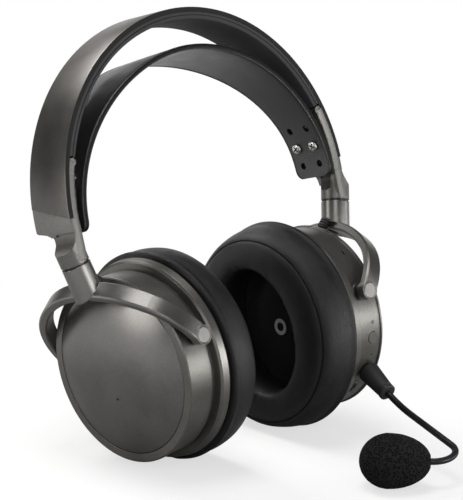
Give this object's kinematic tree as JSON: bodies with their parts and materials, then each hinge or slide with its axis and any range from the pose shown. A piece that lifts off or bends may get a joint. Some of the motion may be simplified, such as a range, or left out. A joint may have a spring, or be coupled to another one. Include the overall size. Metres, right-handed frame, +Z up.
{
  "type": "aviation headset",
  "caption": "Over-ear wireless headset with a sprung headband, suspended head strap, swivelling yokes, round closed cups and a plug-in gooseneck microphone with a foam windscreen.",
  "frame": {"origin": "on the table, under the middle of the headset's box", "axes": "+Z up, -Y to the wearer's front, +X to the wearer's left; the headset leans back on its cups"},
  "size_m": [0.1916, 0.1898, 0.2134],
  "materials": {
    "cover": "satin warm grey",
    "liner": "matt black",
    "steel": "plain",
    "casting": "satin light grey",
    "strap": "black leatherette",
    "black_plastic": "matt black",
    "housing": "satin warm grey",
    "dome": "satin warm grey",
    "driver": "black",
    "magnet": "nickel plated",
    "film": "metallised film",
    "cloth": "black acoustic cloth",
    "leather": "soft black",
    "board": "green",
    "cell": "pouch",
    "lens": "diffusing",
    "contact": "plated",
    "soft_black": "matt",
    "boom": "gloss black",
    "foam": "open foam"
  },
  "bodies": {
    "headband": {"outer_cover": "cover", "band_liner": "liner", "band_spring": "steel", "bracket_left": "casting", "bracket_right": "casting", "head_strap": "strap", "strap_plate_left": "black_plastic", "strap_plate_right": "black_plastic", "strap_screws": "steel", "swivel_pin_left": "steel", "swivel_pin_right": "steel"},
    "yoke_left": {"yoke_left": "casting", "cable_sleeve_left": "soft_black", "pivot_pins_left": "steel", "pivot_caps_left": "casting", "swivel_washer_left": "black_plastic", "swivel_clip_left": "steel"},
    "cup_left": {"housing_left": "housing", "dome_cover_left": "dome", "baffle_left": "black_plastic", "driver_frame_left": "driver", "magnet_bars_left": "magnet", "diaphragm_left": "film", "pad_cloth_left": "cloth", "pad_plate_left": "black_plastic", "ear_pad_left": "leather", "pivot_bushes_left": "black_plastic", "main_board": "board", "usb_port": "steel", "aux_socket": "black_plastic", "mic_socket": "black_plastic", "led_lens": "lens"},
    "yoke_right": {"yoke_right": "casting", "cable_sleeve_right": "soft_black", "pivot_pins_right": "steel", "pivot_caps_right": "casting", "swivel_washer_right": "black_plastic", "swivel_clip_right": "steel"},
    "cup_right": {"housing_right": "housing", "dome_cover_right": "dome", "baffle_right": "black_plastic", "driver_frame_right": "driver", "magnet_bars_right": "magnet", "diaphragm_right": "film", "pad_cloth_right": "cloth", "pad_plate_right": "black_plastic", "ear_pad_right": "leather", "pivot_bushes_right": "black_plastic", "battery": "cell"},
    "power_button": {"power_button": "housing"},
    "mute_button": {"mute_button": "black_plastic"},
    "volume_wheel": {"volume_wheel": "black_plastic"},
    "mix_wheel": {"mix_wheel": "black_plastic"},
    "mic_plug": {"mic_plug": "contact"},
    "mic_arm": {"mic_boot": "soft_black", "mic_boom": "boom", "mic_capsule": "black_plastic", "mic_foam": "foam"}
  },
  "joints": [
    {"name": "swivel_left", "type": "hinge", "parent": "headband", "child": "yoke_left", "pos_m": [0.08698, 0.0374, 0.10757], "axis": [0.2411, 0.2889, 0.9265], "range_deg": [-45, 12]},
    {"name": "swivel_right", "type": "hinge", "parent": "headband", "child": "yoke_right", "pos_m": [-0.08698, 0.0374, 0.10423], "axis": [-0.2765, 0.2889, 0.9166], "range_deg": [-12, 88]},
    {"name": "tilt_left", "type": "hinge", "parent": "yoke_left", "child": "cup_left", "pos_m": [0.05714, 0.03167, 0.06195], "axis": [0.0057, 0.9542, -0.299], "range_deg": [-14, 12]},
    {"name": "tilt_right", "type": "hinge", "parent": "yoke_right", "child": "cup_right", "pos_m": [-0.05568, 0.03225, 0.05952], "axis": [-0.0278, 0.951, -0.3081], "range_deg": [-8, 18]},
    {"name": "power_press", "type": "slide", "parent": "cup_left", "child": "power_button", "axis": [0.0024, 0.9999, 0.0157], "range_m": [0, 0.0006], "stiffness_N_per_m": 2000, "springref_m": -0.0003},
    {"name": "mute_press", "type": "slide", "parent": "cup_left", "child": "mute_button", "axis": [-0.0112, -0.2182, 0.9759], "range_m": [0, 0.0006], "stiffness_N_per_m": 2000, "springref_m": -0.0003},
    {"name": "volume_turn", "type": "hinge", "parent": "cup_left", "child": "volume_wheel", "pos_m": [0.06114, 0.06208, 0.03251], "axis": [0.9999, -0.0026, 0.0109], "continuous": true},
    {"name": "mix_turn", "type": "hinge", "parent": "cup_left", "child": "mix_wheel", "pos_m": [0.06124, 0.05037, 0.02035], "axis": [0.9999, -0.0026, 0.0109], "continuous": true},
    {"name": "mic_pull", "type": "slide", "parent": "cup_left", "child": "mic_plug", "axis": [-0.1389, -0.9062, -0.3995], "range_m": [0, 0.016]},
    {"name": "mic_turn", "type": "hinge", "parent": "mic_plug", "child": "mic_arm", "pos_m": [0.06102, -0.01287, 0.03454], "axis": [-0.1389, -0.9062, -0.3995], "range_deg": [-90, 60]}
  ]
}
